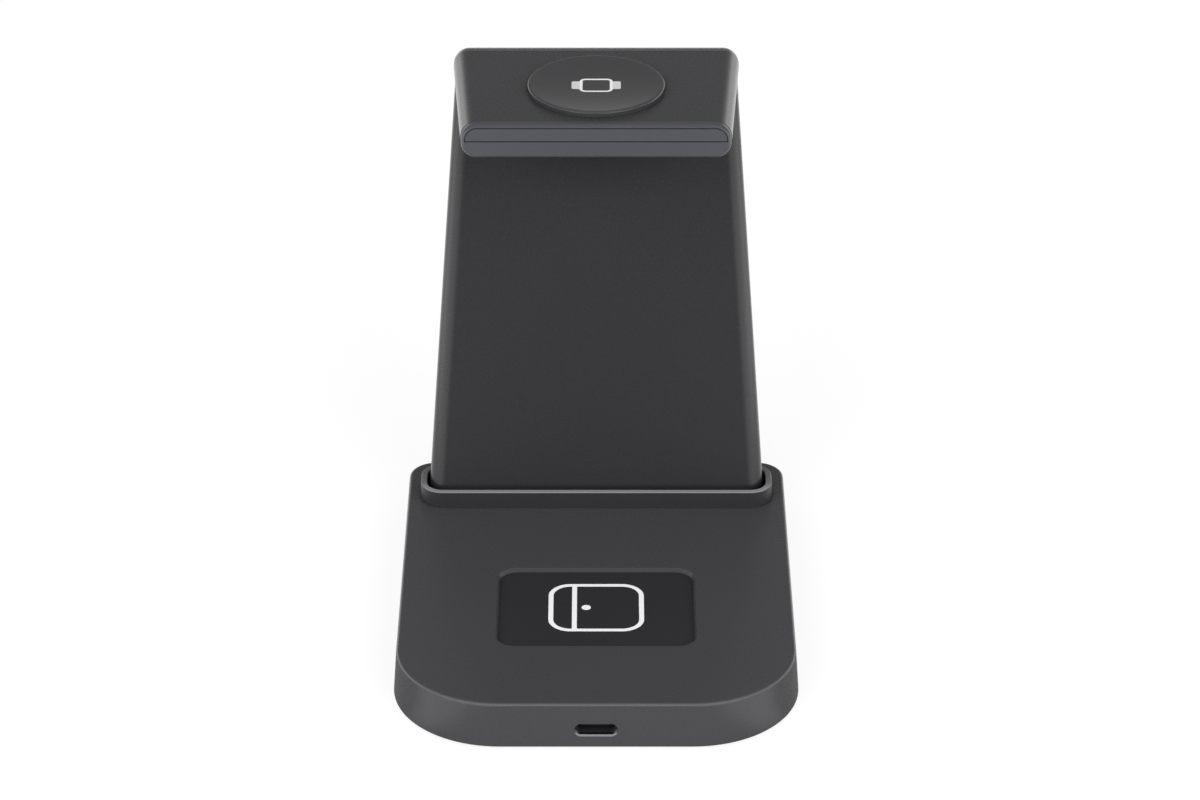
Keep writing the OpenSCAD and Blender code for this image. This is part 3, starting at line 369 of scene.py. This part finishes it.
# Zinc plated, cold rolled sheet steel: long marks streak its pale grey gloss along one way
def rolled_steel():
    material, tree = new_material("zinc_plated_rolled_steel")
    place = add_node(tree, "TexCoord").outputs["Object"]
    along = add_node(tree, "Mapping", {"Vector": place, "Scale": (1 / MARK_STRETCH, 1.0, 1.0)})
    mark = add_node(tree, "TexNoise", {"Vector": along, "Scale": 1 / (ROLLING_MARK * MM),
                                       "Detail": GRAIN_DETAIL})
    tint = add_node(tree, "Mix", {SHARE: mark, FIRST: linear(ZINC[0]), SECOND: linear(ZINC[1])},
                    data_type="RGBA").outputs[MIXED]
    gloss = add_node(tree, "MapRange", (mark, *GRAIN_STEP, *ROLLED_GLOSS), **EASED)
    finish_surface(tree, tint, roughness=gloss, relief=mark, depth=MARK_DEPTH, Metallic=1.0)
    return material


# A finish for each material slot, and for each piece whose finish differs from its slot's
def build_finishes():
    finishes = {
        # ABS from a grained mould: dark greys with a satin sheen, and painted shade where mouldings meet
        "shell_plastic": moulded("moulded_abs_stand", STAND, roughness=0.26, reach=2.0,
                                 keep=0.5, **SATIN),
        "base_top_shell": moulded("moulded_abs_base", BASE, roughness=0.28, reach=1.5,
                                  keep=0.5, trim=painted_edge_light, **SATIN),
        "panel_plastic": moulded("moulded_abs_panel", PANEL, roughness=0.26, reach=2.5,
                                 keep=0.5, **SATIN),
        "cap_plastic": moulded("moulded_abs_cap", CAP, roughness=0.3, reach=1.2, keep=0.35,
                               **SATIN),
        # ABS from a smoother mould: the puck's dish and rim catch a clearer light
        "puck_plastic": moulded("moulded_abs_puck", PUCK, roughness=0.22, **POLISHED),
        # Silicone: soft, dark and nearly matt, so that devices rest without slipping
        "soft_pad": moulded("moulded_silicone_pad", PAD, roughness=0.55, grain=SOFT_GRAIN,
                            **SATIN),
        "collar_ring": moulded("moulded_silicone_collar", COLLAR, roughness=0.5,
                               grain=SOFT_GRAIN, trim=painted_rim_highlight, **SATIN),
        # White ABS, moulded into its hollow: the symbols read as clean, even white
        "symbol_print": moulded("moulded_white_abs", EARBUD_INLAY, roughness=0.5),
        "watch_symbol": moulded("moulded_pale_abs", WATCH_INLAY, roughness=0.5,
                                trim=grey_straps),
        # Nickel plate: a dull metal sheen, with painted shade darkening its colour deep in the socket
        "port_receptacle": moulded("nickel_plated_liner", SHADED_LINER, roughness=0.4, Metallic=0.5),
        # Nylon: a dark tongue, softer in gloss than the metal round it
        "port_tongue": moulded("moulded_nylon_tongue", TONGUE, roughness=0.5,
                               grain=FINE_GRAIN),
        # Rubber: almost black, with hardly any gloss
        "foot_rubber": moulded("moulded_rubber_foot", FOOT, roughness=0.7, grain=FINE_GRAIN),
        # Filled epoxy: black chips with a dry, fine-grained face
        "chip_black": moulded("moulded_epoxy_chip", CHIP, roughness=0.5, grain=FINE_GRAIN),
        "steel": rolled_steel(),
        "ferrite": sintered_ferrite(),
        "flat_cable": laminated_film(),
        "circuit_board": coated_board(),
    }
    for node, slot in slots.items():
        if slot == "copper_wire":
            finishes[node] = wound_copper(node)
    return finishes


# The eye and clear things see pure white, gloss sees the room, and the dome lights matt surfaces
def build_world():
    world = bpy.data.worlds.new("studio")
    bpy.context.scene.world = world
    world.use_nodes = True
    tree = world.node_tree
    tree.nodes.clear()
    ray = add_node(tree, "LightPath").outputs
    way = add_node(tree, "TexCoord").outputs["Generated"]
    toward = add_node(tree, "SeparateXYZ", {"Vector": way}).outputs
    across = add_node(tree, "Math", (toward["X"],), operation="ABSOLUTE")
    low = add_node(tree, "MapRange", (toward["Z"], *WALL_TOP, WALL - DIM, 0.0), **EASED)
    aside = add_node(tree, "MapRange", (across, *WALL_ASIDE, 0.0, 1.0), **EASED)
    wall = add_node(tree, "Math", (low, aside), operation="MULTIPLY")
    foot = add_node(tree, "MapRange", (toward["Z"], *BAND_FOOT, 0.0, 1.0), **EASED)
    top = add_node(tree, "MapRange", (toward["Z"], *BAND_TOP, BAND, 0.0), **EASED)
    back = add_node(tree, "MapRange", (toward["Y"], *BAND_BACK, 0.0, 1.0), **EASED)
    ring = add_node(tree, "Math", (foot, top), operation="MULTIPLY")
    band = add_node(tree, "Math", (ring, back), operation="MULTIPLY")
    ceiling = add_node(tree, "MapRange", (toward["Z"], *CEILING_EDGE, 0.0, CEILING), **EASED)
    high = add_node(tree, "Math", (wall, ceiling), operation="ADD")
    rest = add_node(tree, "Math", (band, DIM), operation="ADD")
    room = add_node(tree, "Math", (high, rest), operation="ADD")
    dome = add_node(tree, "Background", {"Color": linear(WHITE), "Strength": DOME})
    gloss = add_node(tree, "Background", {"Color": linear(WHITE), "Strength": room})
    sweep = add_node(tree, "Background", {"Color": linear(WHITE), "Strength": 1.0})
    lit = add_node(tree, "MixShader", (ray["Is Glossy Ray"], dome, gloss))
    seen = add_node(tree, "Math", (ray["Is Camera Ray"], ray["Is Transmission Ray"]),
                    operation="MAXIMUM")
    both = add_node(tree, "MixShader", (seen, lit, sweep))
    add_node(tree, "OutputWorld", {"Surface": both})


# Glow of the floor to gloss, by the place on the floor
def floor_gloss(tree):
    spot = place_by_axis(tree)
    across = add_node(tree, "Math", (spot["X"],), operation="ABSOLUTE")
    behind = add_node(tree, "MapRange", (spot["Y"], *BEHIND_FROM, FLOOR_DIM, FLOOR_BEHIND),
                      **EASED)
    aside = add_node(tree, "MapRange", (across, *BESIDE_FROM, 0.0, FLOOR_BESIDE), **EASED)
    forward = add_node(tree, "MapRange", (spot["Y"], *BESIDE_BACK, 1.0, 0.0), **EASED)
    beside = add_node(tree, "Math", (aside, forward), operation="MULTIPLY")
    corner = add_node(tree, "MapRange", (across, *CARD_FROM, 0.0, CARD), **EASED)
    before = add_node(tree, "MapRange", (spot["Y"], *CARD_BACK, 1.0, 0.0), **EASED)
    card = add_node(tree, "Math", (corner, before), operation="MULTIPLY")
    wide = add_node(tree, "Math", (behind, beside), operation="MAXIMUM")
    return add_node(tree, "Math", (wide, card), operation="MAXIMUM")


# White floor: the eye and gloss see it glow to white, with the part's soft shadow kept on it
def build_floor():
    corners = [(x * FLOOR_REACH, y * FLOOR_REACH, 0)
               for x, y in ((-1, -1), (1, -1), (1, 1), (-1, 1))]
    mesh = bpy.data.meshes.new("floor")
    mesh.from_pydata(corners, [], [(0, 1, 2, 3)])
    floor = bpy.data.objects.new("floor", mesh)
    bpy.context.scene.collection.objects.link(floor)
    material, tree = new_material("white_floor")
    ray = add_node(tree, "LightPath").outputs
    direct = add_node(tree, "Math", (ray["Is Camera Ray"], ray["Is Glossy Ray"]),
                      operation="MAXIMUM")
    seen = add_node(tree, "Math", (direct, ray["Is Transmission Ray"]), operation="MAXIMUM")
    level = add_node(tree, "Mix", {"Factor": ray["Is Glossy Ray"], "A": FLOOR_GLOW,
                                   "B": floor_gloss(tree)})
    bounce = add_node(tree, "BsdfDiffuse", {"Color": linear(FLOOR_BOUNCE)})
    shaded = add_node(tree, "BsdfDiffuse", {"Color": linear(FLOOR_SEEN)})
    glow = add_node(tree, "Emission", {"Color": linear(WHITE), "Strength": level})
    sweep = add_node(tree, "AddShader", (shaded, glow))
    both = add_node(tree, "MixShader", (seen, bounce, sweep))
    add_node(tree, "OutputMaterial", {"Surface": both})
    mesh.materials.append(material)


# Soft box that faces the part from one side and leaves no shape of its own in the gloss
def soft_box(name, side, azimuth, elevation, width, height, power):
    data = bpy.data.lights.new(name, "AREA")
    data.shape = "RECTANGLE"
    data.size = width
    data.size_y = height
    data.energy = power
    lamp = bpy.data.objects.new(name, data)
    bpy.context.scene.collection.objects.link(lamp)
    turn = math.radians(side * azimuth)
    rise = math.radians(elevation)
    away = Vector((math.sin(turn) * math.cos(rise), -math.cos(turn) * math.cos(rise),
                   math.sin(rise)))
    lamp.location = Vector((0, 0, BOX_AIM)) + away * BOX_AWAY
    lamp.rotation_euler = away.to_track_quat("Z", "Y").to_euler()
    lamp.visible_glossy = False


# Camera at the photograph's viewing angle
def build_camera():
    data = bpy.data.cameras.new("camera")
    data.lens = LENS
    data.sensor_width = SENSOR
    data.clip_start = CLIP_START
    camera = bpy.data.objects.new("camera", data)
    bpy.context.scene.collection.objects.link(camera)
    camera.location = [length * MM for length in CAMERA_PLACE]
    camera.rotation_euler = (math.radians(90 - CAMERA_DOWN), 0, 0)
    bpy.context.scene.camera = camera


# Every piece keeps its CAD shape and gets its finish
finishes = build_finishes()
for name, piece in nodes.items():
    piece.data.materials.clear()
    piece.data.materials.append(finishes.get(name) or finishes[slots[name]])

build_world()
build_floor()
for side in (-1, 1):
    soft_box(f"key_box_{side}", side, **KEY_BOX)
    soft_box(f"side_box_{side}", side, **SIDE_BOX)
build_camera()
bpy.context.scene.view_settings.view_transform = "Standard"
